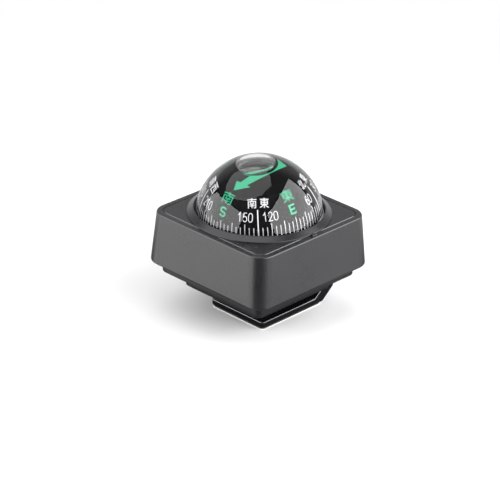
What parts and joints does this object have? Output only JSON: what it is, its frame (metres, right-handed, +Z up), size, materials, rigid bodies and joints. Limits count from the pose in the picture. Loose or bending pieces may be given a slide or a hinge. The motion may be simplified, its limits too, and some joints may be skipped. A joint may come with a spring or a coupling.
{
  "type": "dashboard compass",
  "caption": "Square dashboard ball compass: liquid-filled clear dome over a turning printed card, with index pointer, bottom cover and a hinged stick-on foot.",
  "frame": {"origin": "on the surface the foot stands on, under the centre of the square case", "axes": "+Z up; -Y is the front, where the index pointer is; +X is the side of the foot hinge"},
  "size_m": [0.0548, 0.0548, 0.0568],
  "materials": {
    "case_black": "fine moulded grain, satin",
    "bezel_black": "fine moulded grain, satin",
    "clear_dome": "polished clear acrylic",
    "bowl_black": "smooth",
    "card_black": "matt, printed in white and green",
    "float_white": "smooth",
    "seal_rubber": "matt",
    "plug_nylon": "smooth",
    "post_brass": "turned",
    "steel": "bright",
    "magnet": "ground",
    "jewel": "polished",
    "foot_black": "semi-gloss",
    "pad_foam": "black foam",
    "liner_paper": "white, waxed",
    "print_white": "screen-printed ink on the card",
    "print_green": "screen-printed ink on the card"
  },
  "bodies": {
    "housing": {"case_shell": "case_black", "top_bezel": "bezel_black", "clear_dome": "clear_dome", "lower_bowl": "bowl_black", "capsule_seal": "seal_rubber", "filler_plug": "plug_nylon", "pivot_post": "post_brass", "pivot_needle": "steel", "bottom_cover": "case_black", "cover_screw_1": "steel", "cover_screw_2": "steel", "cover_screw_3": "steel", "cover_screw_4": "steel", "hinge_pin": "steel", "hinge_nut": "steel", "friction_washer_front": "plug_nylon", "friction_washer_back": "plug_nylon"},
    "card": {"compass_card": "card_black", "card_float": "float_white", "jewel_cup": "jewel", "magnet_left": "magnet", "magnet_right": "magnet", "card_retainer": "steel"},
    "foot": {"foot_bracket": "foot_black", "adhesive_pad": "pad_foam", "release_liner": "liner_paper"}
  },
  "joints": [
    {"name": "card_spin", "type": "hinge", "parent": "housing", "child": "card", "pos_m": [0, 0, 0.04], "axis": [-0.056, 0.0645, 0.9963], "continuous": true},
    {"name": "foot_hinge", "type": "hinge", "parent": "housing", "child": "foot", "pos_m": [0.0223, 0, 0.0109], "axis": [0, -1, 0], "range_deg": [-8, 90]}
  ]
}
